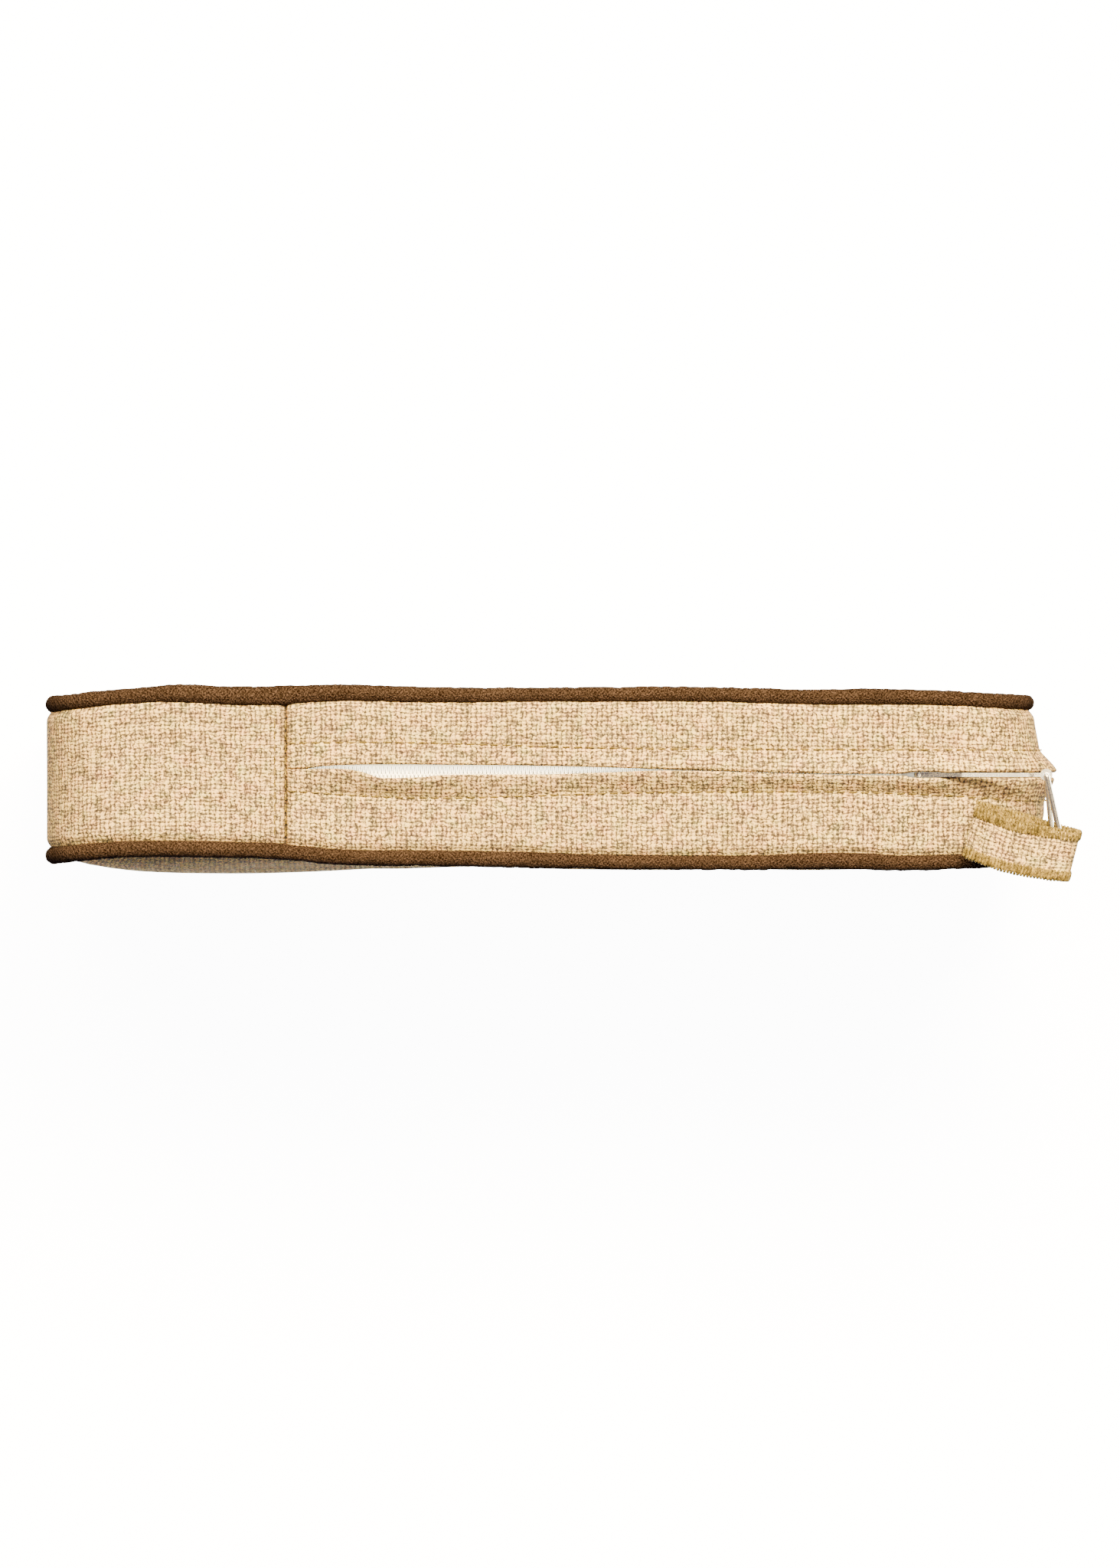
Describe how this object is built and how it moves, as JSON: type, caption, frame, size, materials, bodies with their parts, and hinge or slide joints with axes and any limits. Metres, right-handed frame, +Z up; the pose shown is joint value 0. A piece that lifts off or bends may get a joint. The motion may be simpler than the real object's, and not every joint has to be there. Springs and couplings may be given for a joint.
{
  "type": "zipped belt pouch",
  "caption": "Soft woven belt pouch with corded piping, a coil zip under two flaps round the top and one end, and a fabric loop hung on the zip pull by a wire bail.",
  "frame": {"origin": "centre of the flat underside of the gusset, on the surface that the pouch stands on", "axes": "+X along the pouch towards the end that carries the zip pull, +Y towards the flat back panel, +Z up to the zip"},
  "size_m": [0.2931, 0.0552, 0.159],
  "materials": {
    "canvas": "chunky basket weave, matt",
    "piping": "rough woven cover, matt",
    "piping_cord": "twisted cotton cord",
    "zip_tape": "ribbed woven tape",
    "zip_coil": "nylon coil",
    "nickel": "polished nickel plate",
    "lining": "plain cotton",
    "padding": "needled felt wadding",
    "binding": "woven seam tape",
    "thread": "overlocked polyester thread"
  },
  "bodies": {
    "bag": {"front_panel": "canvas", "back_panel": "canvas", "gusset_plain": "canvas", "zip_flap_back": "canvas", "zip_flap_front": "canvas", "piping_cover_front": "piping", "piping_cover_back": "piping", "piping_cord_front": "piping_cord", "piping_cord_back": "piping_cord", "zip_tape_back": "zip_tape", "zip_tape_front": "zip_tape", "zip_coil_back": "zip_coil", "zip_coil_front": "zip_coil", "zip_bottom_stop": "nickel", "zip_top_stops": "nickel", "front_padding": "padding", "back_padding": "padding", "lining_front": "lining", "lining_back": "lining", "lining_gusset": "lining", "lining_zip_back": "lining", "lining_zip_front": "lining", "seam_binding_front": "binding", "seam_binding_back": "binding"},
    "slider": {"slider_body": "nickel", "slider_pin": "nickel"},
    "pull": {"zip_pull": "nickel"},
    "bail": {"pull_bail": "nickel"},
    "tab": {"tab_strip": "canvas", "tab_edging_back": "thread", "tab_edging_front": "thread", "tab_bartack": "thread"}
  },
  "joints": [
    {"name": "zip_slide", "type": "slide", "parent": "bag", "child": "slider", "axis": [-1, 0, 0], "range_m": [0, 0.15], "deforming": ["zip_coil_back", "zip_coil_front"]},
    {"name": "pull_flip", "type": "hinge", "parent": "slider", "child": "pull", "pos_m": [0.10735, 0, 0.1498], "axis": [0, -1, 0], "range_deg": [0, 95]},
    {"name": "bail_swing", "type": "hinge", "parent": "pull", "child": "bail", "pos_m": [0.1432, 0, 0.1548], "axis": [0, 0, 1], "range_deg": [-12, 70]},
    {"name": "tab_swing", "type": "hinge", "parent": "bail", "child": "tab", "pos_m": [0.1432, 0, 0.1548], "axis": [-0.1564, 0.9877, 0], "range_deg": [0, 180]}
  ]
}
